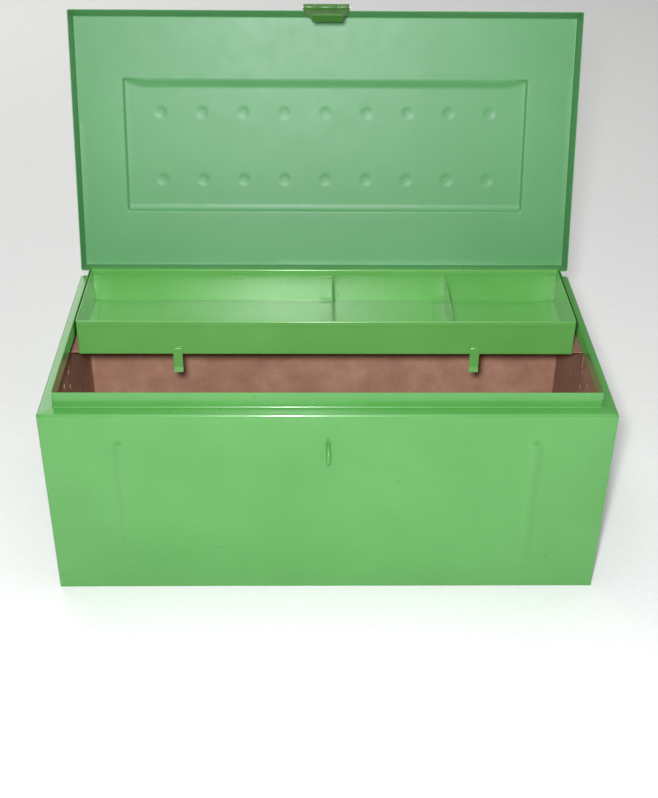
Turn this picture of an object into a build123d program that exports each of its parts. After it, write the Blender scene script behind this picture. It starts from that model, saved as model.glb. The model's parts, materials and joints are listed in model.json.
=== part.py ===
"""A sheet-steel tool box with a lift-out tote tray, a hinged lid and a padlock hasp.

Millimetres, +Z up.  The origin is the middle of the flat underside of the body.  The front, with
the hasp and staple, faces -Y, and the hinges are along the back.  The lid's pieces are drawn
closed and then swung back to LID_OPEN, the pose in which the box is stored in this model.
"""

from build123d import *
from math import hypot
import os

# ---------------------------------------------------------------- driving dimensions

WIDTH = 610.0            # body and lid across the shoulder, 24 in
DEPTH = 312.0            # body front to back
SHOULDER = 237.0         # height of the ledge that the lid closes on
SHEET = 1.0              # steel sheet of body, lid and tray
BEND = 1.5               # centre-line radius of the folds

NECK_INSET = 15.0        # width of the ledge
NECK_HEIGHT = 18.0       # the neck stands this far above the ledge
CORNER_TAB = 13.0        # weld tab folded in from each end panel
PAN_FLANGE = 12.0        # upturned edge of the bottom pan

RIB_X = 221.0            # the two pressed ribs of the front panel
RIB_WIDTH = 20.0
RIB_LOW = 33.0
RIB_HIGH = 206.0
RIB_RISE = 2.6

LID_DEPTH = 34.0         # outside, rim to top
LID_GAP = 0.3            # the closed rim stands this far off the ledge
LID_RAKE = 7.0           # the lid's front flange leans back by this much at the top
LID_OPEN = 105.6         # how far the lid swings back from closed, in degrees
PANEL_X = 497.0          # raised panel of the lid
PANEL_NEAR = 69.0        # its edges, measured from the lid's back
PANEL_FAR = 232.0
PANEL_RISE = 3.5
PANEL_SLOPE = 14.0       # width of the long front slope of the panel
DIMPLE_PITCH = 50.7
DIMPLE_ROWS = (109.0, 191.0)
DIMPLE_COUNT = 9
DIMPLE_WIDTH = 17.0
DIMPLE_RISE = 1.2

PIN_RADIUS = 1.75        # hinge pins and hasp pin
PIN_PLAY = 0.05          # radial clearance of a pin in its knuckles
BARREL = 3.5             # outer radius of every knuckle
LEAF = 1.6               # thickness of the hinge leaves
HINGE_X = 190.0
HINGE_WIDTH = 60.0
HINGE_MIDDLE = 28.0      # length of the middle knuckle
HINGE_LEAF = 25.0
END_PLAY = 0.3           # gap between neighbouring knuckles
HINGE_RIVET_STEP = 20.0
BODY_RIVET_DROP = 15.0   # rows of hinge rivets, below and above the ledge
LID_RIVET_RISE = 17.0
STOP_TAIL = 10.0         # the tail that stops the open lid, from the pin down
STOP_GAP = 0.3           # it stands this far off the hinge's lower leaf

HASP_WIDTH = 54.0
HASP_MIDDLE = 27.0
HASP_FIXED_WIDTH = 46.0
HASP_FIXED_HEIGHT = 22.0
HASP_RIVET_X = 16.0
HASP_LEAF = 1.8
HASP_LENGTH = 70.0       # pin to the start of the turned-out lip
HASP_TIP = 34.0          # width at the lip
HASP_LIP = 15.0
HASP_DROOP = 9.5         # with the lid open the leaf sags this far past the lid's rim, degrees
SLOT_WIDTH = 8.0
SLOT_TOP = 29.0          # below the pin
SLOT_BOTTOM = 65.0

STAPLE_LOW = 179.0
STAPLE_HIGH = 202.0
STAPLE_ROD = 2.2         # radius
STAPLE_REACH = 17.0      # how far the loop stands out of the panel
STAPLE_PLATE = 1.5

TRAY_LENGTH = 575.0
TRAY_FRONT = 11.0        # y of the tray's front and back faces
TRAY_BACK = 139.5
TRAY_FLOOR = 209.3       # z of the tray's underside
TRAY_TOP = 254.6
TRAY_LOOSE = 0.3         # gap between the tray and what it rests on
HEM = 6.0                # folded edge of the tray's long walls, turned to the front on both
HEM_GAP = 2.2            # middle of the wall to middle of its hem
TRAY_TAB = 9.0           # weld tabs of the tray's ends
DIVIDER_HEIGHT = 37.0
DIVIDER_X = (8.0, 148.0)
DIVIDER_TAB = 15.0
CLIP_X = 173.0
CLIP_WIDTH = 11.0
CLIP_DROP = 22.0         # the clips hang this far below the tray
SUPPORT_LEG = 28.0
SUPPORT_DROP = 22.0

HANDLE_Z = 172.0         # height of the end handles' pivots
HANDLE_WIDTH = 104.0     # middle to middle of the bail's legs
HANDLE_DROP = 44.0
HANDLE_ROD = 3.5         # radius
HANDLE_PLATE_X = 112.0
HANDLE_PLATE_Z = 36.0
LUG_LENGTH = 20.0
LUG_WALL = 1.8

RIVET_SHANK = 2.0        # radius
RIVET_HEAD = 4.0
RIVET_RISE = 1.6
RIVET_PLAY = 0.05

# ---------------------------------------------------------------- derived places

FRONT = -DEPTH / 2
BACK = DEPTH / 2
HALF = WIDTH / 2
NECK_TOP = SHOULDER + NECK_HEIGHT
LID_RIM = SHOULDER + LID_GAP
LID_TOP = LID_RIM + LID_DEPTH
RAKE_SLOPE = LID_RAKE / LID_DEPTH
HINGE_Y = BACK + BARREL
HINGE_Z = SHOULDER + LID_GAP / 2
HINGE_AXIS = Axis((0, HINGE_Y, HINGE_Z), (1, 0, 0))
HASP_Y = FRONT - BARREL - 0.3
HASP_Z = SHOULDER - 1.0
HASP_AXIS = Axis((0, HASP_Y, HASP_Z), (1, 0, 0))
BORE = PIN_RADIUS + PIN_PLAY
RIVET_HOLE = RIVET_SHANK + RIVET_PLAY
HANDLE_OUT = LEAF + HANDLE_ROD + LUG_WALL + PIN_PLAY


def save(piece, name):
    """Label a finished piece and write it as its own node."""
    piece.part.label = name
    export_step(piece.part, f"parts/{name}.step")


def open_with_lid(piece):
    """Swing a piece drawn on the closed lid back to where the open lid holds it."""
    piece.part = piece.part.rotate(HINGE_AXIS, -LID_OPEN)


def rivet(outside, inside):
    """One set rivet along Z of the current location: a raised head, a shank and a flat tail."""
    with Locations((0, 0, outside)):
        Cone(RIVET_HEAD, RIVET_HEAD * 0.55, RIVET_RISE, align=(Align.CENTER, Align.CENTER, Align.MIN))
    with Locations((0, 0, inside)):
        Cylinder(RIVET_SHANK, outside - inside, align=(Align.CENTER, Align.CENTER, Align.MIN))
        Cylinder(RIVET_HEAD * 0.8, RIVET_RISE * 0.7, align=(Align.CENTER, Align.CENTER, Align.MAX))


def knuckles(spans, y, z):
    """Add hinge knuckles, each a solid barrel over one span of x, at the pin line (y, z)."""
    for low, high in spans:
        with BuildSketch(Plane.YZ.offset(low)) as barrel:
            with Locations((y, z)):
                Circle(BARREL)
        extrude(barrel.sketch, amount=high - low)


def pin_bore(low, high, y, z, radius=BORE):
    """Cut the pin's hole through everything between two places along x."""
    with BuildSketch(Plane.YZ.offset(low)) as hole:
        with Locations((y, z)):
            Circle(radius)
    extrude(hole.sketch, amount=high - low, mode=Mode.SUBTRACT)


os.makedirs("parts", exist_ok=True)

# ---------------------------------------------------------------- body: four walls and the bottom

# Rivet places: on the back wall and the lid's back for the hinges, from the ledge, and on the end
# walls for the handles, from the handle's pivot.
HINGE_RIVET_X = (-HINGE_RIVET_STEP, 0.0, HINGE_RIVET_STEP)
BODY_RIVETS = [(side * HINGE_X + dx, -BODY_RIVET_DROP) for side in (-1, 1) for dx in HINGE_RIVET_X]
LID_RIVETS = [(side * HINGE_X + dx, LID_RIVET_RISE) for side in (-1, 1) for dx in HINGE_RIVET_X]
HANDLE_RIVETS = [(dy, dz) for dy in (-15.0, 15.0) for dz in (-10.0, 10.0)]


def wall_profile(face):
    """A wall, its ledge and its neck, as one folded strip seen end on.  face is the outer face."""
    skin = face + SHEET / 2
    neck = skin + NECK_INSET
    ledge = SHOULDER - SHEET / 2
    with BuildLine() as strip:
        FilletPolyline((skin, 0), (skin, ledge), (neck, ledge), (neck, NECK_TOP), radius=BEND)
    trace(strip.line, line_width=SHEET)


def mitre(length, face):
    """Cut both ends of a wall at 45 degrees, so that ledges and necks meet at the corners."""
    for side in (-1, 1):
        corner = Plane(origin=(side * length / 2, face, 0), z_dir=(side, 1, 0))
        split(bisect_by=corner, keep=Keep.BOTTOM)


with BuildPart() as front_panel:
    with BuildSketch(Plane.YZ):
        wall_profile(FRONT)
    extrude(amount=HALF, both=True)
    mitre(WIDTH, FRONT)
    rib_middle = (RIB_LOW + RIB_HIGH) / 2
    rib_length = RIB_HIGH - RIB_LOW
    for pressed, mode in ((0, Mode.ADD), (SHEET, Mode.SUBTRACT)):
        with BuildSketch(Plane.XZ.offset(-FRONT - pressed)):
            with Locations((-RIB_X, rib_middle), (RIB_X, rib_middle)):
                SlotOverall(rib_length - 2 * pressed, RIB_WIDTH - 2 * pressed, rotation=90)
        extrude(amount=RIB_RISE, taper=40, mode=mode)
    with BuildSketch(Plane.XZ.offset(-FRONT + 1)):
        with Locations((0, STAPLE_LOW + STAPLE_ROD), (0, STAPLE_HIGH - STAPLE_ROD)):
            Circle(STAPLE_ROD + RIVET_PLAY)
    extrude(amount=-3 * SHEET, mode=Mode.SUBTRACT)
save(front_panel, "front_panel")

with BuildPart() as back_panel:
    with BuildSketch(Plane.YZ):
        wall_profile(FRONT)
    extrude(amount=HALF, both=True)
    mitre(WIDTH, FRONT)
    with BuildSketch(Plane.XZ.offset(-FRONT + 1)):
        with Locations(*[(x, SHOULDER + dz) for x, dz in BODY_RIVETS]):
            Circle(RIVET_HOLE)
    extrude(amount=-3 * SHEET, mode=Mode.SUBTRACT)
back_panel.part = back_panel.part.rotate(Axis.Z, 180)
save(back_panel, "back_panel")

with BuildPart() as end_panel_left:
    with BuildSketch(Plane.XZ):
        wall_profile(-HALF)
    extrude(amount=DEPTH / 2, both=True)
    for side in (-1, 1):
        corner = Plane(origin=(-HALF, side * DEPTH / 2, 0), z_dir=(1, side, 0))
        split(bisect_by=corner, keep=Keep.BOTTOM)
    with BuildSketch(Plane.XY.offset(SHEET)):
        with Locations((-HALF + SHEET, FRONT + SHEET)):
            Rectangle(CORNER_TAB, SHEET, align=(Align.MIN, Align.MIN))
        with Locations((-HALF + SHEET, BACK - SHEET)):
            Rectangle(CORNER_TAB, SHEET, align=(Align.MIN, Align.MAX))
    extrude(amount=SHOULDER - 4 * SHEET)
    with BuildSketch(Plane.YZ.offset(-HALF - 1)):
        with Locations(*[(dy, HANDLE_Z + dz) for dy, dz in HANDLE_RIVETS]):
            Circle(RIVET_HOLE)
    extrude(amount=3 * SHEET, mode=Mode.SUBTRACT)
save(end_panel_left, "end_panel_left")

with BuildPart() as end_panel_right:
    add(end_panel_left.part.rotate(Axis.Z, 180))
save(end_panel_right, "end_panel_right")

with BuildPart() as bottom_pan:
    with BuildSketch():
        Rectangle(WIDTH - 2 * SHEET, DEPTH - 2 * SHEET)
    extrude(amount=SHEET)
    with BuildSketch(Plane.XY.offset(SHEET)):
        with Locations((0, FRONT + 1.5 * SHEET), (0, BACK - 1.5 * SHEET)):
            Rectangle(WIDTH - 2 * CORNER_TAB - 6 * SHEET, SHEET)
        with Locations((HALF - 1.5 * SHEET, 0), (-HALF + 1.5 * SHEET, 0)):
            Rectangle(SHEET, DEPTH - 8 * SHEET)
    extrude(amount=PAN_FLANGE)
save(bottom_pan, "bottom_pan")

# ---------------------------------------------------------------- staple for the padlock

STAPLE_LEGS = (STAPLE_LOW + STAPLE_ROD, STAPLE_HIGH - STAPLE_ROD)
STAPLE_INSIDE = FRONT + SHEET + STAPLE_PLATE

with BuildPart() as staple_plate:
    with BuildSketch(Plane.XZ.offset(-FRONT - SHEET)):
        with Locations((0, (STAPLE_LOW + STAPLE_HIGH) / 2)):
            RectangleRounded(20, 40, 3)
        with Locations((0, STAPLE_LEGS[0]), (0, STAPLE_LEGS[1])):
            Circle(STAPLE_ROD + RIVET_PLAY, mode=Mode.SUBTRACT)
    extrude(amount=-STAPLE_PLATE)
save(staple_plate, "staple_plate")

with BuildPart() as staple:
    loop_y = FRONT - STAPLE_REACH + STAPLE_ROD
    bend = (STAPLE_LEGS[1] - STAPLE_LEGS[0]) / 2 - 0.5
    with BuildLine(Plane.YZ) as loop:
        FilletPolyline(
            (STAPLE_INSIDE, STAPLE_LEGS[0]),
            (loop_y, STAPLE_LEGS[0]),
            (loop_y, STAPLE_LEGS[1]),
            (STAPLE_INSIDE, STAPLE_LEGS[1]),
            radius=bend,
        )
    with BuildSketch(Plane.XZ.offset(-STAPLE_INSIDE)):
        with Locations((0, STAPLE_LEGS[0])):
            Circle(STAPLE_ROD)
    sweep(path=loop.line)
    for z in STAPLE_LEGS:
        with BuildSketch(Plane.XZ.offset(-STAPLE_INSIDE)):
            with Locations((0, z)):
                Circle(STAPLE_ROD * 1.6)
        extrude(amount=-1.2, taper=20)
save(staple, "staple")

# ---------------------------------------------------------------- hinges

LEAF_LOW = HINGE_Z - BARREL - HINGE_LEAF + 3
LEAF_HIGH = HINGE_Z + BARREL + HINGE_LEAF - 3


def leaf_plate(x, z_low, z_high, y, width):
    """A flat leaf against a wall whose outer face is y, growing away from it along +Y."""
    with BuildSketch(Plane.XZ.offset(-y)) as leaf:
        with Locations((x, (z_low + z_high) / 2)):
            RectangleRounded(width, z_high - z_low, 2)
    extrude(leaf.sketch, amount=-LEAF)


for side, word in ((-1, "left"), (1, "right")):
    middle = side * HINGE_X
    low = middle - HINGE_WIDTH / 2
    high = middle + HINGE_WIDTH / 2
    inner_low = middle - HINGE_MIDDLE / 2
    inner_high = middle + HINGE_MIDDLE / 2

    with BuildPart() as body_leaf:
        leaf_plate(middle, LEAF_LOW, HINGE_Z, BACK, HINGE_WIDTH)
        with BuildSketch(Plane.YZ.offset(inner_low - END_PLAY)):
            with Locations((HINGE_Y, HINGE_Z)):
                Circle(BARREL + 0.4)
        extrude(amount=HINGE_MIDDLE + 2 * END_PLAY, mode=Mode.SUBTRACT)
        knuckles(((low, inner_low - END_PLAY), (inner_high + END_PLAY, high)), HINGE_Y, HINGE_Z)
        pin_bore(low, high, HINGE_Y, HINGE_Z)
        with BuildSketch(Plane.XZ.offset(-BACK + 1)):
            with Locations(*[(middle + dx, SHOULDER - BODY_RIVET_DROP) for dx in HINGE_RIVET_X]):
                Circle(RIVET_HOLE)
        extrude(amount=-3 * LEAF, mode=Mode.SUBTRACT)
    save(body_leaf, f"hinge_{word}_body_leaf")

    with BuildPart() as lid_leaf:
        leaf_plate(middle, HINGE_Z, LEAF_HIGH, BACK, HINGE_WIDTH)
        for start, length in ((low, inner_low - low), (inner_high, high - inner_high)):
            with BuildSketch(Plane.YZ.offset(start)):
                with Locations((HINGE_Y, HINGE_Z)):
                    Circle(BARREL + 0.4)
            extrude(amount=length, mode=Mode.SUBTRACT)
        knuckles(((inner_low, inner_high),), HINGE_Y, HINGE_Z)
        # the stop tail: straight down the back wall when the lid is fully open
        tail = Plane(origin=(middle, HINGE_Y, HINGE_Z), x_dir=(1, 0, 0), z_dir=(0, -1, 0))
        tail = tail.rotated((LID_OPEN, 0, 0))
        with BuildSketch(tail.offset(BARREL - LEAF - STOP_GAP)):
            Rectangle(HINGE_MIDDLE - 6, STOP_TAIL, align=(Align.CENTER, Align.MAX))
        extrude(amount=-1.4)
        pin_bore(low, high, HINGE_Y, HINGE_Z)
        with BuildSketch(Plane.XZ.offset(-BACK + 1)):
            with Locations(*[(middle + dx, SHOULDER + LID_RIVET_RISE) for dx in HINGE_RIVET_X]):
                Circle(RIVET_HOLE)
        extrude(amount=-3 * LEAF, mode=Mode.SUBTRACT)
    open_with_lid(lid_leaf)
    save(lid_leaf, f"hinge_{word}_lid_leaf")

    with BuildPart() as pin:
        with BuildSketch(Plane.YZ.offset(low - 1.2)):
            with Locations((HINGE_Y, HINGE_Z)):
                Circle(PIN_RADIUS)
        extrude(amount=HINGE_WIDTH + 2.4)
        for end in (low - 1.2, high):
            with BuildSketch(Plane.YZ.offset(end)):
                with Locations((HINGE_Y, HINGE_Z)):
                    Circle(PIN_RADIUS * 1.5)
            extrude(amount=1.2)
    save(pin, f"hinge_{word}_pin")

with BuildPart() as hinge_body_rivets:
    back_wall = Plane(origin=(0, BACK, SHOULDER), x_dir=(1, 0, 0), z_dir=(0, 1, 0))
    with Locations(*[back_wall.location * Location((x, -dz, 0)) for x, dz in BODY_RIVETS]):
        rivet(LEAF, -SHEET)
save(hinge_body_rivets, "hinge_body_rivets")

# ---------------------------------------------------------------- lid

FLANGE_PLANE = Plane(
    origin=(0, FRONT, LID_RIM),
    x_dir=(1, 0, 0),
    z_dir=(0, -LID_DEPTH, LID_RAKE),
)
HASP_RIVETS = [(-HASP_RIVET_X, 14.0), (HASP_RIVET_X, 14.0), (0.0, 20.0)]

with BuildPart() as lid_shell:
    for skin, mode in ((0, Mode.ADD), (SHEET, Mode.SUBTRACT)):
        with BuildSketch(Plane.YZ.offset(-HALF + skin)):
            with BuildLine():
                rim_front = FRONT + skin * hypot(1, RAKE_SLOPE)
                Polyline(
                    (rim_front, LID_RIM),
                    (BACK - skin, LID_RIM),
                    (BACK - skin, LID_TOP - skin),
                    (rim_front + RAKE_SLOPE * (LID_DEPTH - skin), LID_TOP - skin),
                    close=True,
                )
            make_face()
        extrude(amount=WIDTH - 2 * skin, mode=mode)
    top_edges = lid_shell.edges().group_by(Axis.Z)[-1]
    fillet(top_edges, radius=1.8)
    # the raised panel: steep on three sides, with one long slope towards the front
    panel_back = BACK - PANEL_NEAR
    panel_front = BACK - PANEL_FAR
    for skin, mode in ((0, Mode.ADD), (SHEET, Mode.SUBTRACT)):
        with BuildSketch(Plane.YZ.offset(-PANEL_X / 2 + skin)):
            with BuildLine():
                Polyline(
                    (panel_back - skin, LID_TOP - SHEET / 2 - skin),
                    (panel_back - skin - PANEL_RISE / 4, LID_TOP + PANEL_RISE - skin),
                    (panel_front + PANEL_SLOPE + skin / 4, LID_TOP + PANEL_RISE - skin),
                    (panel_front + skin / 4, LID_TOP - skin),
                    (panel_front + skin / 4, LID_TOP - SHEET / 2 - skin),
                    close=True,
                )
            make_face()
        extrude(amount=PANEL_X - 2 * skin, mode=mode)
    dimples = GridLocations(DIMPLE_PITCH, DIMPLE_ROWS[1] - DIMPLE_ROWS[0], DIMPLE_COUNT, 2)
    dimples_y = BACK - sum(DIMPLE_ROWS) / 2
    for skin, mode in ((0, Mode.ADD), (SHEET, Mode.SUBTRACT)):
        with BuildSketch(Plane.XY.offset(LID_TOP + PANEL_RISE - skin)):
            with Locations((0, dimples_y)):
                with dimples:
                    Circle(DIMPLE_WIDTH / 2 - skin)
        extrude(amount=DIMPLE_RISE, taper=55, mode=mode)
    with BuildSketch(Plane.XZ.offset(-BACK - 1)):
        with Locations(*[(x, SHOULDER + dz) for x, dz in LID_RIVETS]):
            Circle(RIVET_HOLE)
    extrude(amount=3 * SHEET, mode=Mode.SUBTRACT)
    with BuildSketch(FLANGE_PLANE.offset(1)):
        with Locations(*HASP_RIVETS):
            Circle(RIVET_HOLE)
    extrude(amount=-3 * SHEET, mode=Mode.SUBTRACT)
open_with_lid(lid_shell)
save(lid_shell, "lid_shell")

with BuildPart() as hinge_lid_rivets:
    with Locations(*[back_wall.location * Location((x, -dz, 0)) for x, dz in LID_RIVETS]):
        rivet(LEAF, -SHEET)
open_with_lid(hinge_lid_rivets)
save(hinge_lid_rivets, "hinge_lid_rivets")

# ---------------------------------------------------------------- hasp

HASP_SPAN = HASP_WIDTH / 2
HASP_INNER = HASP_MIDDLE / 2

with BuildPart() as hasp_fixed_leaf:
    with BuildSketch(FLANGE_PLANE) as plate:
        with Locations((0, 4.5)):
            Rectangle(HASP_FIXED_WIDTH, HASP_FIXED_HEIGHT, align=(Align.CENTER, Align.MIN))
        chamfer(plate.vertices().group_by(Axis.Y)[-1], 4)
    extrude(amount=LEAF)
    # the web joins the plate's lower edge to the middle knuckle
    web_inside = FLANGE_PLANE.from_local_coords((0, 5, 0.1))
    web_outside = FLANGE_PLANE.from_local_coords((0, 5, LEAF))
    with BuildSketch(Plane.YZ.offset(-HASP_INNER)):
        with BuildLine():
            Polyline(
                (HASP_Y, HASP_Z),
                (HASP_Y + BARREL, HASP_Z),
                (FRONT - 0.1, LID_RIM),
                (web_inside.Y, web_inside.Z),
                (web_outside.Y, web_outside.Z),
                (HASP_Y, HASP_Z + BARREL),
                close=True,
            )
        make_face()
    extrude(amount=HASP_MIDDLE)
    knuckles(((-HASP_INNER, HASP_INNER),), HASP_Y, HASP_Z)
    pin_bore(-HASP_INNER, HASP_INNER, HASP_Y, HASP_Z)
    with BuildSketch(FLANGE_PLANE.offset(-1)):
        with Locations(*HASP_RIVETS):
            Circle(RIVET_HOLE)
    extrude(amount=3 * LEAF, mode=Mode.SUBTRACT)
open_with_lid(hasp_fixed_leaf)
save(hasp_fixed_leaf, "hasp_fixed_leaf")

with BuildPart() as hasp_rivets:
    with Locations(*[FLANGE_PLANE.location * Location((x, v, 0)) for x, v in HASP_RIVETS]):
        rivet(LEAF, -SHEET)
open_with_lid(hasp_rivets)
save(hasp_rivets, "hasp_rivets")

with BuildPart() as hasp_pin:
    with BuildSketch(Plane.YZ.offset(-HASP_SPAN - 1.2)):
        with Locations((HASP_Y, HASP_Z)):
            Circle(PIN_RADIUS)
    extrude(amount=HASP_WIDTH + 2.4)
    for end in (-HASP_SPAN - 1.2, HASP_SPAN):
        with BuildSketch(Plane.YZ.offset(end)):
            with Locations((HASP_Y, HASP_Z)):
                Circle(PIN_RADIUS * 1.5)
        extrude(amount=1.2)
open_with_lid(hasp_pin)
save(hasp_pin, "hasp_pin")

with BuildPart() as hasp_leaf:
    plate_back = HASP_Y + BARREL
    tip_z = HASP_Z - HASP_LENGTH
    with BuildSketch(Plane.XZ.offset(-plate_back)):
        with BuildLine():
            Polyline(
                (-HASP_SPAN, HASP_Z),
                (HASP_SPAN, HASP_Z),
                (HASP_SPAN, HASP_Z - 8),
                (HASP_TIP / 2, tip_z + 8),
                (HASP_TIP / 2, tip_z),
                (-HASP_TIP / 2, tip_z),
                (-HASP_TIP / 2, tip_z + 8),
                (-HASP_SPAN, HASP_Z - 8),
                close=True,
            )
        make_face()
        with Locations((0, HASP_Z - (SLOT_TOP + SLOT_BOTTOM) / 2)):
            SlotOverall(SLOT_BOTTOM - SLOT_TOP, SLOT_WIDTH, rotation=90, mode=Mode.SUBTRACT)
    extrude(amount=HASP_LEAF)
    # the lip curls out from the panel so that a finger can lift the leaf
    with BuildSketch(Plane.YZ.offset(-HASP_TIP / 2)):
        with BuildLine():
            FilletPolyline(
                (plate_back - HASP_LEAF / 2, tip_z + 1),
                (plate_back - HASP_LEAF / 2, tip_z - 4),
                (plate_back - HASP_LEAF / 2 - HASP_LIP * 0.62, tip_z - HASP_LIP),
                radius=6,
            )
        trace(line_width=HASP_LEAF)
    extrude(amount=HASP_TIP)
    with BuildSketch(Plane.YZ.offset(-HASP_INNER - END_PLAY)):
        with Locations((HASP_Y, HASP_Z)):
            Circle(BARREL + 0.4)
    extrude(amount=HASP_MIDDLE + 2 * END_PLAY, mode=Mode.SUBTRACT)
    outer_knuckles = ((-HASP_SPAN, -HASP_INNER - END_PLAY), (HASP_INNER + END_PLAY, HASP_SPAN))
    knuckles(outer_knuckles, HASP_Y, HASP_Z)
    pin_bore(-HASP_SPAN, HASP_SPAN, HASP_Y, HASP_Z)
hasp_leaf.part = hasp_leaf.part.rotate(HASP_AXIS, HASP_DROOP)
open_with_lid(hasp_leaf)
save(hasp_leaf, "hasp_leaf")

# ---------------------------------------------------------------- tote tray

TRAY_HALF = TRAY_LENGTH / 2
TRAY_MIDDLE = (TRAY_FRONT + TRAY_BACK) / 2
CLIP_SLOT_Z = TRAY_FLOOR + 9.0

with BuildPart() as tray_pan:
    skin = SHEET / 2
    with BuildSketch(Plane.YZ):
        with BuildLine():
            FilletPolyline(
                (TRAY_FRONT + skin - HEM_GAP, TRAY_TOP - HEM),
                (TRAY_FRONT + skin - HEM_GAP, TRAY_TOP - skin),
                (TRAY_FRONT + skin, TRAY_TOP - skin),
                (TRAY_FRONT + skin, TRAY_FLOOR + skin),
                (TRAY_BACK - skin, TRAY_FLOOR + skin),
                (TRAY_BACK - skin, TRAY_TOP - skin),
                (TRAY_BACK - skin - HEM_GAP, TRAY_TOP - skin),
                (TRAY_BACK - skin - HEM_GAP, TRAY_TOP - HEM),
                radius=1.0,
            )
        trace(line_width=SHEET)
    extrude(amount=TRAY_HALF - SHEET, both=True)
    with BuildSketch(Plane.XZ.offset(-TRAY_FRONT + 1)):
        with Locations((-CLIP_X, CLIP_SLOT_Z), (CLIP_X, CLIP_SLOT_Z)):
            Rectangle(CLIP_WIDTH + 1, 3.0)
    extrude(amount=-3 * SHEET, mode=Mode.SUBTRACT)
save(tray_pan, "tray_pan")

with BuildPart() as tray_end_left:
    with BuildSketch(Plane.YZ.offset(-TRAY_HALF)):
        with Locations((TRAY_MIDDLE, TRAY_FLOOR)):
            Rectangle(TRAY_BACK - TRAY_FRONT, TRAY_TOP - TRAY_FLOOR, align=(Align.CENTER, Align.MIN))
    extrude(amount=SHEET)
    with BuildSketch(Plane.XY.offset(TRAY_FLOOR + 3 * SHEET)):
        with Locations((-TRAY_HALF + SHEET, TRAY_FRONT + SHEET)):
            Rectangle(TRAY_TAB, SHEET, align=(Align.MIN, Align.MIN))
        with Locations((-TRAY_HALF + SHEET, TRAY_BACK - SHEET)):
            Rectangle(TRAY_TAB, SHEET, align=(Align.MIN, Align.MAX))
    extrude(amount=TRAY_TOP - HEM - TRAY_FLOOR - 4 * SHEET)
    with BuildSketch(Plane.XY.offset(TRAY_FLOOR + SHEET)):
        with Locations((-TRAY_HALF + SHEET, TRAY_MIDDLE)):
            Rectangle(TRAY_TAB, TRAY_BACK - TRAY_FRONT - 8 * SHEET, align=(Align.MIN, Align.CENTER))
    extrude(amount=SHEET)
save(tray_end_left, "tray_end_left")

with BuildPart() as tray_end_right:
    add(mirror(tray_end_left.part, about=Plane.YZ, mode=Mode.PRIVATE))
save(tray_end_right, "tray_end_right")

divider_front = TRAY_FRONT + SHEET
divider_back = TRAY_BACK - SHEET
for x, word in zip(DIVIDER_X, ("middle", "right")):
    with BuildPart() as divider:
        with BuildSketch(Plane.YZ.offset(x)):
            with BuildLine():
                Polyline(
                    (divider_front, TRAY_FLOOR + 3 * SHEET),
                    (divider_front + 2 * SHEET, TRAY_FLOOR + SHEET),
                    (divider_back - 2 * SHEET, TRAY_FLOOR + SHEET),
                    (divider_back, TRAY_FLOOR + 3 * SHEET),
                    (divider_back, TRAY_FLOOR + DIVIDER_HEIGHT),
                    (divider_front, TRAY_FLOOR + DIVIDER_HEIGHT),
                    close=True,
                )
            make_face()
        extrude(amount=SHEET)
        with BuildSketch(Plane.XZ.offset(-divider_back)):
            with Locations((x + SHEET, TRAY_FLOOR + 3 * SHEET)):
                Rectangle(DIVIDER_TAB, DIVIDER_HEIGHT - 4 * SHEET, align=(Align.MAX, Align.MIN))
        extrude(amount=SHEET)
        with BuildSketch(Plane.XY.offset(TRAY_FLOOR + SHEET)):
            with Locations((x + SHEET, TRAY_MIDDLE)):
                Rectangle(DIVIDER_TAB, TRAY_BACK - TRAY_FRONT - 16 * SHEET, align=(Align.MAX, Align.CENTER))
        extrude(amount=SHEET)
    save(divider, f"tray_divider_{word}")

for side, word in ((-1, "left"), (1, "right")):
    with BuildPart() as clip:
        with BuildSketch(Plane.YZ.offset(side * CLIP_X - CLIP_WIDTH / 2)):
            with BuildLine():
                FilletPolyline(
                    (TRAY_FRONT + SHEET + 0.6, CLIP_SLOT_Z + 14),
                    (TRAY_FRONT + SHEET + 0.6, CLIP_SLOT_Z),
                    (TRAY_FRONT - 1.4, CLIP_SLOT_Z),
                    (TRAY_FRONT - 1.4, TRAY_FLOOR - CLIP_DROP + 6),
                    (TRAY_FRONT - 3.4, TRAY_FLOOR - CLIP_DROP),
                    radius=0.8,
                )
            trace(line_width=1.2)
        extrude(amount=CLIP_WIDTH)
    save(clip, f"tray_clip_{word}")

support_top = TRAY_FLOOR - TRAY_LOOSE
with BuildPart() as tray_support_left:
    wall = -HALF + SHEET
    with BuildSketch(Plane.XZ.offset(-TRAY_FRONT - 6)):
        with BuildLine():
            FilletPolyline(
                (wall + SHEET / 2, support_top - SUPPORT_DROP),
                (wall + SHEET / 2, support_top - SHEET / 2),
                (wall + SUPPORT_LEG, support_top - SHEET / 2),
                radius=BEND,
            )
        trace(line_width=SHEET)
    extrude(amount=-(TRAY_BACK - TRAY_FRONT - 10))
save(tray_support_left, "tray_support_left")

with BuildPart() as tray_support_right:
    add(mirror(tray_support_left.part, about=Plane.YZ, mode=Mode.PRIVATE))
save(tray_support_right, "tray_support_right")

# ---------------------------------------------------------------- end handles

BAIL_X = HALF + HANDLE_OUT
LUG_RADIUS = HANDLE_ROD + PIN_PLAY + LUG_WALL
LUG_Y = HANDLE_WIDTH / 2 - HANDLE_ROD - 3 - LUG_LENGTH / 2

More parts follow.
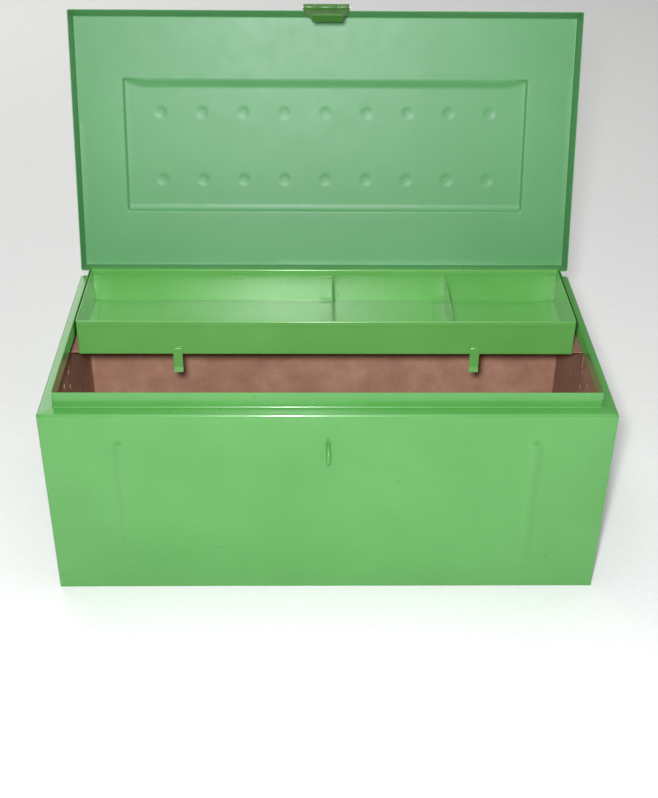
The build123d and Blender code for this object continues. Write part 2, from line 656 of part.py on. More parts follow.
with BuildPart() as handle_plate:
    with BuildSketch(Plane.YZ.offset(HALF)):
        with Locations((0, HANDLE_Z)):
            RectangleRounded(HANDLE_PLATE_X, HANDLE_PLATE_Z, 6)
    extrude(amount=LEAF)
    with BuildSketch(Plane.XZ):
        with Locations((BAIL_X, HANDLE_Z)):
            Circle(LUG_RADIUS)
        with Locations((HALF, HANDLE_Z)):
            Rectangle(HANDLE_OUT, 2 * LUG_RADIUS, align=(Align.MIN, Align.CENTER))
        with Locations((BAIL_X, HANDLE_Z)):
            Circle(HANDLE_ROD + PIN_PLAY, mode=Mode.SUBTRACT)
    extrude(amount=LUG_Y + LUG_LENGTH / 2, both=True)
    with BuildSketch(Plane.XZ):
        with Locations((HALF + LEAF, HANDLE_Z)):
            Rectangle(40, 40, align=(Align.MIN, Align.CENTER))
    extrude(amount=LUG_Y - LUG_LENGTH / 2, both=True, mode=Mode.SUBTRACT)
    with BuildSketch(Plane.YZ.offset(HALF - 1)):
        with Locations(*[(dy, HANDLE_Z + dz) for dy, dz in HANDLE_RIVETS]):
            Circle(RIVET_HOLE)
    extrude(amount=3 * LEAF, mode=Mode.SUBTRACT)

with BuildPart() as handle_bail:
    inner = LUG_Y - LUG_LENGTH / 2 + 1
    outer = HANDLE_WIDTH / 2
    drop = HANDLE_Z - HANDLE_DROP
    with BuildLine(Plane.YZ.offset(BAIL_X)) as bow:
        FilletPolyline(
            (-inner, HANDLE_Z),
            (-outer, HANDLE_Z),
            (-outer, drop),
            (outer, drop),
            (outer, HANDLE_Z),
            (inner, HANDLE_Z),
            radius=(6, 12, 12, 6),
        )
    with BuildSketch(Plane.XZ.offset(inner)):
        with Locations((BAIL_X, HANDLE_Z)):
            Circle(HANDLE_ROD)
    sweep(path=bow.line)

with BuildPart() as handle_rivets:
    end_wall = Plane(origin=(HALF, 0, HANDLE_Z), x_dir=(0, 1, 0), z_dir=(1, 0, 0))
    with Locations(*[end_wall.location * Location((dy, dz, 0)) for dy, dz in HANDLE_RIVETS]):
        rivet(LEAF, -SHEET)

for piece, word in ((handle_plate, "plate"), (handle_bail, "bail"), (handle_rivets, "rivets")):
    save(piece, f"handle_right_{word}")
    piece.part = piece.part.rotate(Axis.Z, 180)
    save(piece, f"handle_left_{word}")
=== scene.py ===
"""Looks of the metal tool box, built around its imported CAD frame. Metres, +Z up, the front faces -Y."""

import json
import math

import bmesh
import bpy
import numpy as np
from mathutils import Matrix, Vector


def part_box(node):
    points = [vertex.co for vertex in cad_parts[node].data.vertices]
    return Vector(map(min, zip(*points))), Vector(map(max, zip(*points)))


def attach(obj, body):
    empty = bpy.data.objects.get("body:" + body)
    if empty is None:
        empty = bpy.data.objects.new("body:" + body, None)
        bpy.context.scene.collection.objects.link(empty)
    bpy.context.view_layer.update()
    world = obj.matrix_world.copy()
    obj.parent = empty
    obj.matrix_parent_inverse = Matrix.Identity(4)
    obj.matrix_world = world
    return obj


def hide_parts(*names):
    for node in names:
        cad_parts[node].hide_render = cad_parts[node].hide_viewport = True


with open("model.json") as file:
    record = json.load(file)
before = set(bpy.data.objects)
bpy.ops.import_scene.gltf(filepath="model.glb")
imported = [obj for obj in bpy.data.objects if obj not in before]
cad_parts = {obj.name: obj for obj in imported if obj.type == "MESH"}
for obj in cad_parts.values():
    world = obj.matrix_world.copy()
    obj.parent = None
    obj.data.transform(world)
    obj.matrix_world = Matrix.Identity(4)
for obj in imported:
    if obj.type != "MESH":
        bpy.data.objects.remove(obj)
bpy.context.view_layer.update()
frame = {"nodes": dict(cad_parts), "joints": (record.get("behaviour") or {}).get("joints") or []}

# ---------------------------------------------------------------- sizes

MM = 0.001
SHEET = 1.0 * MM
HALF_SHEET = SHEET / 2
FOLD = 2.0 * MM             # centre-line radius of the body's folds
CORNER = 2.2 * MM           # the body's upright corners
NECK_INSET = 15 * MM
FACE_DEPTH = 3 * MM         # sheet less than this behind the outside is the wall's face
WALL_WAVE = 0.35 * MM       # unevenness of the body's walls

end_low, end_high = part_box("end_panel_left")
HALF = -end_low.x
FRONT = end_low.y
BACK = end_high.y
NECK_TOP = end_high.z

joints = {joint["name"]: joint for joint in frame["joints"]}
HINGE = Vector(joints["lid_hinge"]["pos_m"])
LID_OPEN = math.radians(joints["lid_hinge"]["range_deg"][1])
SHOULDER = HINGE.z - 0.15 * MM
RIM = HINGE.z + 0.15 * MM

LID_DEPTH = 34 * MM
LID_RAKE = 7 * MM
LID_FOLD = 2.3 * MM         # outer radius between the lid's top and its flanges
PANEL_X = 248.5 * MM        # half the width of the raised panel
PANEL_BACK = BACK - 69 * MM
PANEL_FRONT = BACK - 232 * MM
PANEL_RISE = 3.5 * MM
PANEL_SLOPE = 10 * MM       # the front step widens by this much away from the corners
PANEL_STEP = 3 * MM         # width of the step along the panel's other edges
BORDER_RISE = 0.05 * MM     # a faint step round the panel
BORDER_OUT = 6 * MM         # how far outside the panel that step lies
LID_WAVE = 0.1 * MM         # unevenness of the lid's top
DIMPLE_PITCH = 50.7 * MM
DIMPLE_COUNT = 9
DIMPLE_RISE = 0.6 * MM
DIMPLE_FOOT = 9.0 * MM
DIMPLE_FLAT = 2.5 * MM
DIMPLE_X = [DIMPLE_PITCH * (i - DIMPLE_COUNT // 2) for i in range(DIMPLE_COUNT)]
DIMPLE_Y = (BACK - 109 * MM, BACK - 191 * MM)

RIB_X = 221 * MM            # from the middle of the front to the middle of each rib
RIB_ENDS = (43 * MM, 196 * MM)
RIB_HALF = 10 * MM
RIB_RISE = 2.2 * MM
RIB_RAMP = 9 * MM           # width of the slope from the rib's foot


# ---------------------------------------------------------------- mesh helpers

def smooth(t):
    """A soft step from 0 to 1 for t from 0 to 1."""
    t = np.clip(t, 0, 1)
    return t * t * (3 - 2 * t)


def graded(low, high, coarse, fine_spans, fine):
    """Sorted places from low to high, closer together inside the fine spans."""
    places = list(np.linspace(low, high, max(2, round((high - low) / coarse) + 1)))
    for start, stop in fine_spans:
        start, stop = max(start, low), min(stop, high)
        places = [p for p in places if not start - fine / 2 < p < stop + fine / 2]
        places += list(np.linspace(start, stop, max(2, round((stop - start) / fine) + 1)))
    return np.unique(np.round(np.array(places + [low, high]), 7))


def ripple(u, v, seed):
    """A gentle unevenness of rolled sheet, from -1 to 1."""
    return (
        np.sin(u * 13 + seed) * np.sin(v * 17 + 2.1 * seed)
        + 0.6 * np.sin(u * 31 + 1.7 * seed) * np.sin(v * 27 + 0.4 * seed)
    ) / 1.6


def turned(v, angle):
    """A 2D vector turned by an angle."""
    return Vector((v.x * math.cos(angle) - v.y * math.sin(angle),
                   v.x * math.sin(angle) + v.y * math.cos(angle)))


def fold_line(points, radius, steps=5):
    """(point, left normal) along a 2D line with every corner rounded. radius: one, or one per point."""
    line = [Vector(p) for p in points]
    radii = radius if isinstance(radius, (list, tuple)) else [radius] * len(line)
    out = []

    def add(point, along):
        out.append((point, Vector((-along.y, along.x))))

    for i, point in enumerate(line):
        before = (point - line[i - 1]).normalized() if i else None
        after = (line[i + 1] - point).normalized() if i + 1 < len(line) else None
        if before is None or after is None:
            add(point, after or before)
            continue
        turn = math.atan2(before.x * after.y - before.y * after.x, before.dot(after))
        if abs(turn) < 1e-4:
            add(point, before)
            continue
        r = radii[i]
        start = point - before * (r * math.tan(abs(turn) / 2))
        left = Vector((-before.y, before.x)) * math.copysign(1, turn)
        for k in range(steps + 1):
            angle = turn * k / steps
            add(start + left * r - turned(left, angle) * r, turned(before, angle))
    return out


def sheet_loop(line):
    """A closed loop round a bent sheet seen end on: [(x, y, is_left)], with rounded edges."""
    def edge(point, normal, along):
        return [(point + normal * HALF_SHEET * math.cos(a) + along * HALF_SHEET * math.sin(a))
                for a in (math.pi / 4, math.pi / 2, 3 * math.pi / 4)]

    last, last_normal = line[-1]
    first, first_normal = line[0]
    ahead = Vector((last_normal.y, -last_normal.x))
    behind = Vector((-first_normal.y, first_normal.x))
    loop = [(p + n * HALF_SHEET, True) for p, n in line]
    loop += [(p, True) for p in edge(last - ahead * HALF_SHEET, last_normal, ahead)]
    loop += [(p - n * HALF_SHEET, False) for p, n in reversed(line)]
    loop += [(p, False) for p in edge(first - behind * HALF_SHEET, -first_normal, behind)]
    return loop


def quads(rows, columns, wrap=False):
    """Faces of a grid of vertices numbered row by row."""
    across = columns if wrap else columns - 1
    return [
        (r * columns + c, r * columns + (c + 1) % columns,
         (r + 1) * columns + (c + 1) % columns, (r + 1) * columns + c)
        for r in range(rows - 1) for c in range(across)
    ]


def add_object(name, verts, faces, materials, body, indices=None, sharp=40):
    """A mesh object that rides on a body, smooth except at edges sharper than an angle in degrees."""
    mesh = bpy.data.meshes.new(name)
    mesh.from_pydata([tuple(v) for v in verts], [], faces)
    for material in materials:
        mesh.materials.append(material)
    if indices is not None:
        mesh.polygons.foreach_set("material_index", indices)
    bm = bmesh.new()
    bm.from_mesh(mesh)
    bmesh.ops.remove_doubles(bm, verts=bm.verts, dist=1e-6)
    bmesh.ops.recalc_face_normals(bm, faces=bm.faces)
    for face in bm.faces:
        face.smooth = True
    for line in bm.edges:
        if len(line.link_faces) == 2 and line.calc_face_angle(0) > math.radians(sharp):
            line.smooth = False
    bm.to_mesh(mesh)
    bm.free()
    obj = bpy.data.objects.new(name, mesh)
    bpy.context.scene.collection.objects.link(obj)
    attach(obj, body)
    return obj


def tube(name, points, radius, corners, place, material, body, around=20):
    """A round rod bent along a 2D line. place turns (2D point, sideways) into a 3D point."""
    line = fold_line(points, corners, steps=10)
    verts = []
    for point, normal in line:
        for k in range(around):
            a = 2 * math.pi * k / around
            verts.append(place(point + normal * radius * math.cos(a), radius * math.sin(a)))
    faces = quads(len(line), around, wrap=True)
    faces.append(tuple(reversed(range(around))))
    faces.append(tuple(range((len(line) - 1) * around, len(line) * around)))
    return add_object(name, verts, faces, [material], body)


# ---------------------------------------------------------------- materials

PRIMER_DARK, PRIMER_LIGHT = (0.36, 0.178, 0.118), (0.54, 0.31, 0.215)
HARDWARE_DARK, HARDWARE_LIGHT = (0.075, 0.28, 0.05), (0.1, 0.33, 0.075)
RUBBED_AMOUNT = 0.2         # how far a rubbed speck turns to the bare colour


def new_material(name):
    material = bpy.data.materials.new(name)
    material.use_nodes = True
    nodes = material.node_tree.nodes
    return material, nodes, material.node_tree.links, nodes["Principled BSDF"]


def noise(nodes, links, source, scale, detail=3, rough=0.55, stretch=None):
    """The value of a noise texture in object space. stretch scales the space along each axis."""
    texture = nodes.new("ShaderNodeTexNoise")
    texture.inputs["Scale"].default_value = scale
    texture.inputs["Detail"].default_value = detail
    texture.inputs["Roughness"].default_value = rough
    if stretch:
        mapping = nodes.new("ShaderNodeMapping")
        mapping.inputs["Scale"].default_value = stretch
        links.new(source, mapping.inputs["Vector"])
        source = mapping.outputs["Vector"]
    links.new(source, texture.inputs["Vector"])
    return texture.outputs["Fac"]


def ramp(nodes, links, value, stops):
    """A colour ramp: stops are (place, colour)."""
    node = nodes.new("ShaderNodeValToRGB")
    elements = node.color_ramp.elements
    while len(elements) < len(stops):
        elements.new(0.5)
    for element, (place, colour) in zip(elements, stops):
        element.position = place
        element.color = (*colour, 1)
    links.new(value, node.inputs["Fac"])
    return node.outputs["Color"]


def mixed(nodes, links, amount, first, second):
    """Colour second laid over colour first by an amount."""
    node = nodes.new("ShaderNodeMix")
    node.data_type = "RGBA"
    links.new(amount, node.inputs["Factor"])
    links.new(first, node.inputs["A"])
    links.new(second, node.inputs["B"])
    return node.outputs["Result"]


def ranged(nodes, links, value, low, high, start=0.0, stop=1.0):
    """A value mapped from start..stop to low..high."""
    node = nodes.new("ShaderNodeMapRange")
    node.inputs["From Min"].default_value = start
    node.inputs["From Max"].default_value = stop
    node.inputs["To Min"].default_value = low
    node.inputs["To Max"].default_value = high
    links.new(value, node.inputs["Value"])
    return node.outputs["Result"]


def add_bump(nodes, links, shader, layers):
    """Stack bumps: layers are (height, distance in metres, strength)."""
    normal = None
    for height, distance, strength in layers:
        bump = nodes.new("ShaderNodeBump")
        bump.inputs["Distance"].default_value = distance
        bump.inputs["Strength"].default_value = strength
        links.new(height, bump.inputs["Height"])
        if normal:
            links.new(normal, bump.inputs["Normal"])
        normal = bump.outputs["Normal"]
    links.new(normal, shader.inputs["Normal"])


def enamel(name, dark, light, roughness=0.34, worn=0.76, coat=0.0, coat_roughness=0.4,
           tint=(1, 1, 1)):
    """Sprayed enamel: cloudy colour, orange peel, dusty patches and a few rubbed specks."""
    material, nodes, links, shader = new_material(name)
    shader.inputs["Coat Weight"].default_value = coat
    shader.inputs["Coat Roughness"].default_value = coat_roughness
    shader.inputs["Specular Tint"].default_value = (*tint, 1)
    space = nodes.new("ShaderNodeTexCoord").outputs["Object"]
    cloud = noise(nodes, links, space, 7, detail=4)
    paint = ramp(nodes, links, cloud, [(0.3, dark), (0.7, light)])
    specks = noise(nodes, links, space, 240, detail=5, rough=0.7)
    rubbed = ranged(nodes, links, specks, 0, RUBBED_AMOUNT, worn, worn + 0.06)
    bare = ramp(nodes, links, cloud, [(0, (0.16, 0.3, 0.14)), (1, (0.3, 0.42, 0.26))])
    links.new(mixed(nodes, links, rubbed, paint, bare), shader.inputs["Base Color"])
    dust = noise(nodes, links, space, 38, detail=6, rough=0.65)
    links.new(ranged(nodes, links, dust, roughness - 0.03, roughness + 0.04, 0.3, 0.7),
              shader.inputs["Roughness"])
    peel = noise(nodes, links, space, 620, detail=2)
    wave = noise(nodes, links, space, 16, detail=1)
    add_bump(nodes, links, shader, [(wave, 0.0011, 0.12), (peel, 0.00005, 0.35)])
    return material


def red_primer():
    """Matt red-brown primer: mottled, chalky, with darker stains."""
    material, nodes, links, shader = new_material("red_primer")
    space = nodes.new("ShaderNodeTexCoord").outputs["Object"]
    blotch = noise(nodes, links, space, 28, detail=6, rough=0.62)
    paint = ramp(nodes, links, blotch, [(0.3, PRIMER_DARK), (0.52, (0.45, 0.24, 0.16)),
                                        (0.72, PRIMER_LIGHT)])
    stain = ranged(nodes, links, noise(nodes, links, space, 9, detail=3), 0, 0.5, 0.55, 0.8)
    dark = ramp(nodes, links, blotch, [(0, (0.27, 0.155, 0.095)), (1, (0.36, 0.22, 0.15))])
    links.new(mixed(nodes, links, stain, paint, dark), shader.inputs["Base Color"])
    grain = noise(nodes, links, space, 480, detail=4)
    links.new(ranged(nodes, links, blotch, 0.72, 0.92), shader.inputs["Roughness"])
    add_bump(nodes, links, shader, [(grain, 0.0001, 0.5)])
    return material


def rivet_paint():
    """Paint of the handle rivets: green outside the end walls, primer on the tails inside."""
    material, nodes, links, shader = new_material("rivet_paint")
    space = nodes.new("ShaderNodeTexCoord").outputs["Object"]
    split = nodes.new("ShaderNodeSeparateXYZ")
    links.new(space, split.inputs["Vector"])
    across = nodes.new("ShaderNodeMath")
    across.operation = "ABSOLUTE"
    links.new(split.outputs["X"], across.inputs[0])
    outside = ranged(nodes, links, across.outputs["Value"], 0, 1, HALF - SHEET, HALF - HALF_SHEET)
    cloud = noise(nodes, links, space, 60, detail=4)
    inner = ramp(nodes, links, cloud, [(0.3, PRIMER_DARK), (0.7, PRIMER_LIGHT)])
    outer = ramp(nodes, links, cloud, [(0.3, HARDWARE_DARK), (0.7, HARDWARE_LIGHT)])
    links.new(mixed(nodes, links, outside, inner, outer), shader.inputs["Base Color"])
    links.new(ranged(nodes, links, cloud, 0.4, 0.7), shader.inputs["Roughness"])
    return material


def bright_steel():
    """Zinc-plated steel: fine drawn lines, smudges, duller spots."""
    material, nodes, links, shader = new_material("bright_steel")
    shader.inputs["Metallic"].default_value = 1.0
    space = nodes.new("ShaderNodeTexCoord").outputs["Object"]
    smudge = noise(nodes, links, space, 60, detail=5)
    links.new(ramp(nodes, links, smudge, [(0.3, (0.47, 0.47, 0.45)), (0.7, (0.72, 0.72, 0.7))]),
              shader.inputs["Base Color"])
    links.new(ranged(nodes, links, smudge, 0.24, 0.5, 0.3, 0.7), shader.inputs["Roughness"])
    drawn = noise(nodes, links, space, 400, detail=2, stretch=(1, 1, 0.08))
    add_bump(nodes, links, shader, [(drawn, 0.00004, 0.4)])
    return material


def floor_paint():
    """Pale, even studio floor with a faint tooth."""
    material, nodes, links, shader = new_material("studio_floor")
    space = nodes.new("ShaderNodeTexCoord").outputs["Object"]
    tooth = noise(nodes, links, space, 90, detail=4)
    links.new(ramp(nodes, links, tooth, [(0.2, (0.86, 0.86, 0.85)), (0.8, (0.9, 0.9, 0.89))]),
              shader.inputs["Base Color"])
    shader.inputs["Roughness"].default_value = 0.8
    return material


BODY_GREEN = enamel("body_enamel", (0.064, 0.287, 0.048), (0.083, 0.325, 0.064),
                    roughness=0.3, coat=0.7, coat_roughness=0.12)
# Bluer and a little paler than the body's green, with a bluish specular tint: painted bluish glare laid
# into the lid's colour, which is the body's paint.
LID_GREEN_PAINTED_GLARE = enamel("lid_enamel_painted_glare", (0.085, 0.312, 0.1), (0.097, 0.336, 0.113),
                   roughness=0.47, coat=0.5, coat_roughness=0.5, tint=(0.9, 0.85, 1.0))
TRAY_GREEN = enamel("tray_enamel", (0.115, 0.385, 0.078), (0.15, 0.45, 0.11),
                    roughness=0.3, coat=1.0, coat_roughness=0.27)
HARDWARE_GREEN = enamel("hardware_enamel", HARDWARE_DARK, HARDWARE_LIGHT, worn=0.6)
# A darker copy of the hardware green: painted shade on the hasp, which is sprayed with the same paint as
# the other hardware.
HASP_SHADED_GREEN = enamel("hasp_enamel_painted_shade", (0.052, 0.175, 0.024), (0.068, 0.205, 0.034))
PRIMER = red_primer()
RIVET_PAINT = rivet_paint()
STEEL = bright_steel()


# ---------------------------------------------------------------- body walls

def rib_height(u, z):
    """How far the two pressed ribs stand out of the front panel."""
    past = np.maximum(RIB_ENDS[0] - z, 0) + np.maximum(z - RIB_ENDS[1], 0)
    away = np.hypot(np.abs(np.abs(u) - RIB_X), past)
    return RIB_RISE * smooth((RIB_HALF - away) / RIB_RAMP)


def wall_heights(ribbed):
    """Heights at which a wall's flat part has a row of vertices."""
    low, high = RIB_ENDS
    spans = [(low - 15 * MM, low + 7 * MM), (high - 7 * MM, high + 15 * MM)] if ribbed else []
    return graded(0, SHOULDER - HALF_SHEET, 9 * MM, spans, 1.6 * MM)


def wall_stations(length, ribbed):
    """[(share of the flat length, turn round the corner)] from one mitre to the other."""
    spans = [(s * RIB_X - 12 * MM, s * RIB_X + 12 * MM) for s in (-1, 1)] if ribbed else []
    flat = graded(-length, length, 11 * MM, spans, 1.3 * MM) / length
    turns = [math.radians(a) for a in (45, 34, 23, 11)]
    return [(-1, -a) for a in turns] + [(t, 0) for t in flat] + [(1, a) for a in reversed(turns)]


def wall(node, length, out, quarter, ribbed=False, seed=0.0):
    """One wall of the body with its ledge and neck, from mitre to mitre."""
    rows = wall_heights(ribbed)
    neck = HALF_SHEET + NECK_INSET
    points = [(HALF_SHEET, z) for z in rows]
    points += [(neck, SHOULDER - HALF_SHEET)]
    points += [(neck, z) for z in np.linspace(SHOULDER + 6 * MM, NECK_TOP, 3)]
    loop = sheet_loop(fold_line(points, FOLD))
    stations = wall_stations(length, ribbed)
    spin = Matrix.Rotation(quarter * math.pi / 2, 3, "Z")
    verts = []
    for share, turn in stations:
        for point, _ in loop:
            depth, z = point
            flat = length - depth - CORNER
            u = share * flat + CORNER * math.sin(turn)
            v = out - depth - CORNER * (1 - math.cos(turn))
            if depth < FACE_DEPTH:
                fade = smooth((SHOULDER - 6 * MM - z) / (20 * MM)) * (1 - abs(share) ** 6)
                v += WALL_WAVE * (ripple(u, z, seed) - 1) * fade
                v += rib_height(u, z) if ribbed else 0
            verts.append(spin @ Vector((u, -v, z)))
    columns = len(loop)
    faces = quads(len(stations), columns, wrap=True)
    inside = []
    for _ in range(len(stations) - 1):
        for c in range(columns):
            point, left = loop[c]
            inside.append(0 if left or point.y > SHOULDER - 1.5 * SHEET else 1)
    obj = add_object(f"{node}_sheet", verts, faces, [BODY_GREEN, PRIMER], "box", inside)
    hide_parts(node)


def build_body():
    wall("front_panel", HALF, -FRONT, 0, ribbed=True, seed=0.3)
    wall("end_panel_right", BACK, HALF, 1, seed=1.1)
    wall("back_panel", HALF, BACK, 2, seed=2.2)
    wall("end_panel_left", BACK, HALF, 3, seed=3.4)


# ---------------------------------------------------------------- lid

def lid_relief(x, y):
    """Height of the lid's pressing above its flat border, for a closed lid."""
    side = smooth((PANEL_X - np.abs(x)) / PANEL_STEP)
    back = smooth((PANEL_BACK - y) / PANEL_STEP)
    reach = 2 * MM + PANEL_SLOPE * smooth((PANEL_X - np.abs(x)) / (25 * MM))
    front = smooth((y - PANEL_FRONT) / reach)
    near = (smooth((PANEL_X + BORDER_OUT - np.abs(x)) / (2 * MM))
            * smooth((PANEL_BACK + BORDER_OUT - y) / (2 * MM))
            * smooth((y - PANEL_FRONT + BORDER_OUT) / (3 * MM)))
    rise = BORDER_RISE * near + (PANEL_RISE - BORDER_RISE) * side * back * front
    for dx in DIMPLE_X:
        for dy in DIMPLE_Y:
            away = np.hypot(x - dx, y - dy)
            rise = rise + DIMPLE_RISE * smooth((DIMPLE_FOOT - away) / (DIMPLE_FOOT - DIMPLE_FLAT))
    edge = np.minimum.reduce([HALF - np.abs(x), BACK - y, y - FRONT - LID_RAKE])
    return rise - LID_WAVE * (1 + ripple(x, y, 0.9)) * smooth(edge / (40 * MM))


def lid_grid():
    """The places of the lid's top vertices, closer together at the panel's edges and the dimples."""
    reach = DIMPLE_FOOT + 1.5 * MM
    across = [(d - reach, d + reach) for d in DIMPLE_X]
    across += [(PANEL_X - 4 * MM, PANEL_X + 9 * MM), (-PANEL_X - 9 * MM, -PANEL_X + 4 * MM)]
    along = [(d - reach, d + reach) for d in DIMPLE_Y]
    along += [(PANEL_BACK - 3 * MM, PANEL_BACK + 9 * MM)]
    along += [(PANEL_FRONT - 8 * MM, PANEL_FRONT + PANEL_SLOPE + 4 * MM)]
    xs = graded(-HALF + LID_FOLD, HALF - LID_FOLD, 7 * MM, across, 1.25 * MM)
    ys = graded(FRONT + LID_RAKE + LID_FOLD, BACK - LID_FOLD, 7 * MM, along, 1.25 * MM)
    return xs, ys


def lid_border(xs, ys, turns=4):
    """Round the grid's edge: (x, y, outward x, outward y), with a fan of directions at each corner."""
    corners = [(xs[-1], ys[0], -90), (xs[-1], ys[-1], 0), (xs[0], ys[-1], 90), (xs[0], ys[0], 180)]
    runs = [[(xs[-1], y) for y in ys[1:-1]], [(x, ys[-1]) for x in xs[-2:0:-1]],
            [(xs[0], y) for y in ys[-2:0:-1]], [(x, ys[0]) for x in xs[1:-1]]]
    border = []
    for (cx, cy, start), run in zip(corners, runs):
        for k in range(turns + 1):
            a = math.radians(start + 90 * k / turns)
            border.append((cx, cy, math.cos(a), math.sin(a)))
        a = math.radians(start + 90)
        border += [(x, y, math.cos(a), math.sin(a)) for x, y in run]
    return border


def raked(x, y, z):
    """Lean the front flange: it stays put at the top and moves forward towards the rim."""
    share = 1 - (z - RIM) / LID_DEPTH
    weight = np.clip((FRONT + LID_RAKE + 26 * MM - y) / (22 * MM), 0, 1)
    return x, y - LID_RAKE * share * weight, z


def lid_skin(xs, ys, drop):
    """Top grid, fold and flange of one side of the lid's sheet, drop below the outside."""
    top = RIM + LID_DEPTH
    verts, faces = [], []
    for y in ys:
        for x in xs:
            verts.append((x, y, top - drop + float(lid_relief(x, y))))
    faces += quads(len(ys), len(xs))
    border = lid_border(xs, ys)
    radius = LID_FOLD - drop
    rings = [(radius * math.sin(a), top - drop - radius * (1 - math.cos(a)))
             for a in np.linspace(0, math.pi / 2, 6)]
    rings += [(radius, z) for z in np.linspace(top - LID_FOLD - 4 * MM, RIM + HALF_SHEET, 5)]
    base = len(verts)
    for offset, z in rings:
        for x, y, nx, ny in border:
            verts.append(raked(x + nx * offset, y + ny * offset, z))
    faces += [tuple(base + i for i in face) for face in quads(len(rings), len(border), wrap=True)]
    return verts, faces, len(border)


def build_lid():
    """The lid's pressing: an outside and an inside joined by a rounded rim, swung open."""
    xs, ys = lid_grid()
    outer, outer_faces, around = lid_skin(xs, ys, 0.0)
    inner, inner_faces, _ = lid_skin(xs, ys, SHEET)
    verts = outer + inner
    faces = outer_faces + [tuple(len(outer) + i for i in face) for face in inner_faces]
    outside = list(range(len(outer) - around, len(outer)))
    inside = list(range(len(verts) - around, len(verts)))
    rim = []
    for angle in (45, 90, 135):
        share = (1 - math.cos(math.radians(angle))) / 2
        fall = HALF_SHEET * math.sin(math.radians(angle))
        rim.append([])
        for a, b in zip(outside, inside):
            point = Vector(verts[a]).lerp(Vector(verts[b]), share)
            rim[-1].append(len(verts))
            verts.append((point.x, point.y, point.z - fall))
    loops = [outside] + rim + [inside]
    for first, second in zip(loops, loops[1:]):
        for k in range(around):
            n = (k + 1) % around
            faces.append((first[k], first[n], second[n], second[k]))
    swing = Matrix.Translation(HINGE) @ Matrix.Rotation(-LID_OPEN, 4, "X") @ Matrix.Translation(-HINGE)
    verts = [swing @ Vector(v) for v in verts]
    # the lid's green carries painted bluish glare
    lid = add_object("lid_pressing", verts, faces, [LID_GREEN_PAINTED_GLARE], "lid", sharp=60)
    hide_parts("lid_shell")


# ---------------------------------------------------------------- rods: staple and handles

def build_staple():
    """The padlock staple: a round rod bent into a loop, its legs through the front panel."""
    low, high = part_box("staple")
    radius = 2.2 * MM
    head = 1.32 * MM            # the box holds the wider riveted ends, this much past the rod
    bottom, top = low.z + head + radius, high.z - head - radius
    reach = low.y + radius
    bend = (top - bottom) / 2 - 0.5 * MM
    points = [(high.y, bottom), (reach, bottom), (reach, top), (high.y, top)]
    staple = tube("staple_rod", points, radius, bend, lambda p, side: Vector((side, p.x, p.y)),
                  HARDWARE_GREEN, "box")
    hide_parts("staple")


def build_bail(word, sign):
    """A drop handle: a rod whose turned-in ends sit in the plate's lugs."""
    low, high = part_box(f"handle_{word}_bail")
    radius = 3.5 * MM
    x = (low.x + high.x) / 2
    pivot = joints[f"{word}_handle_swing"]["pos_m"][2]
    outer, inner = high.y - radius, 26.5 * MM
    drop = low.z + radius
    points = [(-inner, pivot), (-outer, pivot), (-outer, drop),
              (outer, drop), (outer, pivot), (inner, pivot)]
    corners = [0, 6 * MM, 12 * MM, 12 * MM, 6 * MM, 0]
    bail = tube(f"handle_{word}_rod", points, radius, corners,
                lambda p, side: Vector((x + side * sign, p.x, p.y)), STEEL, f"{word}_handle")
    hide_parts(f"handle_{word}_bail")


# ---------------------------------------------------------------- pieces kept from the frame

def finish_for(node):
    """The material of a CAD node that stays."""
    if node in ("staple_plate", "bottom_pan") or node.startswith("tray_support"):
        return PRIMER
    if node.startswith("tray"):
        return TRAY_GREEN
    if node.startswith("handle") and "rivets" in node:
        return RIVET_PAINT
    if node.endswith("_pin"):
        return STEEL
    if node.startswith("hasp"):
        # the hasp's darker green is painted shade
        return HASP_SHADED_GREEN
    return HARDWARE_GREEN


def ease_edges(obj, width, segments=2):
    """Round a CAD piece's edges without touching its mesh."""
    weld = obj.modifiers.new("weld", "WELD")
    weld.merge_threshold = 1e-5
    bevel = obj.modifiers.new("bevel", "BEVEL")
    bevel.width = width
    bevel.segments = segments
    bevel.limit_method = "ANGLE"
    bevel.angle_limit = math.radians(35)
    bevel.harden_normals = True


def dress_frame():
    """Give every CAD node that stays its material and eased edges."""
    replaced = ("front_panel", "back_panel", "end_panel_left", "end_panel_right", "lid_shell", "staple",
                "handle_left_bail", "handle_right_bail")
    for node, obj in frame["nodes"].items():
        if node in replaced:
            continue
        obj.data.materials.clear()
        obj.data.materials.append(finish_for(node))
        if "rivets" in node:
            ease_edges(obj, 0.7 * MM, 3)
        else:
            ease_edges(obj, 0.3 * MM)


# ---------------------------------------------------------------- studio

CAMERA_PLACE = (-0.0223, -1.2234, 0.9645)
CAMERA_ANGLES = (33.51, -1.20, -0.68)      # degrees down, round and over
CAMERA_LENS = 67.75                        # mm, for a sensor 36 mm wide
FLOOR_REACH = 6.0
FLOOR_DROP = 0.0002                        # keeps the floor clear of the box's lower edge


def build_floor():
    """A wide pale floor under the box."""
    count = 25
    places = np.linspace(-FLOOR_REACH, FLOOR_REACH, count)
    verts = [(x, y, -FLOOR_DROP) for y in places for x in places]
    mesh = bpy.data.meshes.new("studio_floor")
    mesh.from_pydata(verts, [], quads(count, count))
    mesh.materials.append(floor_paint())
    floor = bpy.data.objects.new("studio_floor", mesh)
    bpy.context.scene.collection.objects.link(floor)


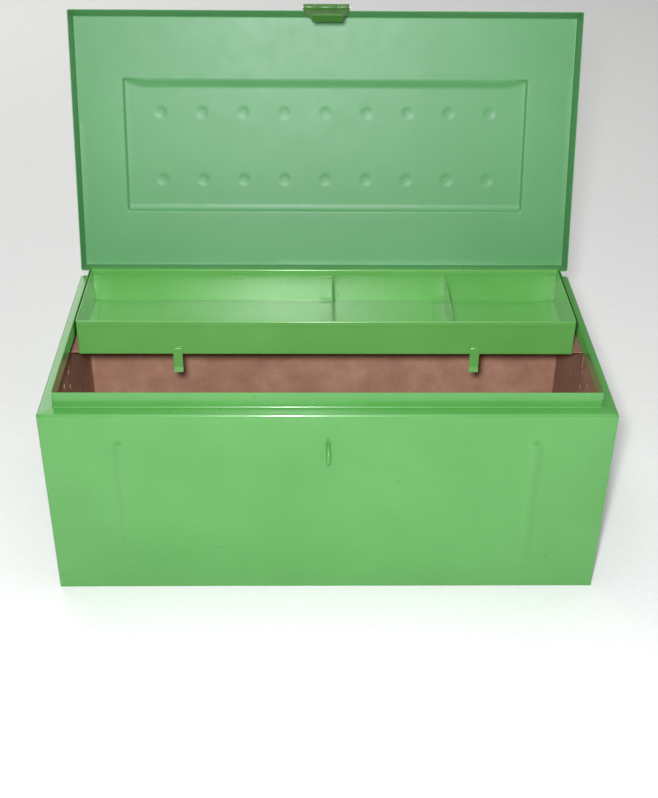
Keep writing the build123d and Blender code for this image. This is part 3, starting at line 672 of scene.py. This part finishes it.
def add_light(name, place, target, size, power, colour):
    light = bpy.data.lights.new(name, "AREA")
    light.shape = "DISK"
    light.size = size
    light.energy = power
    light.color = colour
    obj = bpy.data.objects.new(name, light)
    obj.location = place
    obj.rotation_euler = (Vector(target) - Vector(place)).to_track_quat("-Z", "Y").to_euler()
    bpy.context.scene.collection.objects.link(obj)


def build_light():
    """One small lamp by the camera, like a flash, and large fills for the other sides."""
    middle = (0, 0.05, 0.3)
    add_light("key", (-0.06, -1.2, 1.01), middle, 0.09, 21.5, (0.97, 0.98, 1.0))
    add_light("over", (0.2, 0.8, 5.0), (0, 0.6, 0), 5.0, 85, (1, 1, 1))
    add_light("back_fill", (-1.2, 2.4, 1.6), middle, 2.0, 18, (1, 0.99, 0.97))
    world = bpy.data.worlds.new("studio")
    world.use_nodes = True
    shade = world.node_tree.nodes["Background"]
    shade.inputs["Color"].default_value = (1, 1, 1, 1)
    shade.inputs["Strength"].default_value = 0.23
    bpy.context.scene.world = world


def build_camera():
    """From above the front, looking down into the open box, very slightly turned and tilted."""
    pitch, yaw, roll = (math.radians(a) for a in CAMERA_ANGLES)
    turn = Matrix(((math.cos(yaw), math.sin(yaw), 0), (-math.sin(yaw), math.cos(yaw), 0), (0, 0, 1)))
    tip = Matrix(((1, 0, 0), (0, -math.sin(pitch), -math.cos(pitch)),
                  (0, math.cos(pitch), -math.sin(pitch))))
    lean = Matrix(((math.cos(roll), math.sin(roll), 0), (-math.sin(roll), math.cos(roll), 0), (0, 0, 1)))
    right, down, forward = lean @ tip @ turn
    axes = Matrix((right, -down, -forward)).transposed()
    camera = bpy.data.cameras.new("camera")
    camera.sensor_fit = "HORIZONTAL"
    camera.sensor_width = 36
    camera.lens = CAMERA_LENS
    camera.clip_end = 30
    obj = bpy.data.objects.new("camera", camera)
    obj.matrix_world = Matrix.Translation(CAMERA_PLACE) @ axes.to_4x4()
    bpy.context.scene.collection.objects.link(obj)
    bpy.context.scene.camera = obj


build_body()
build_lid()
build_staple()
build_bail("left", -1)
build_bail("right", 1)
dress_frame()
build_floor()
build_light()
build_camera()
bpy.context.scene.view_settings.view_transform = "Standard"
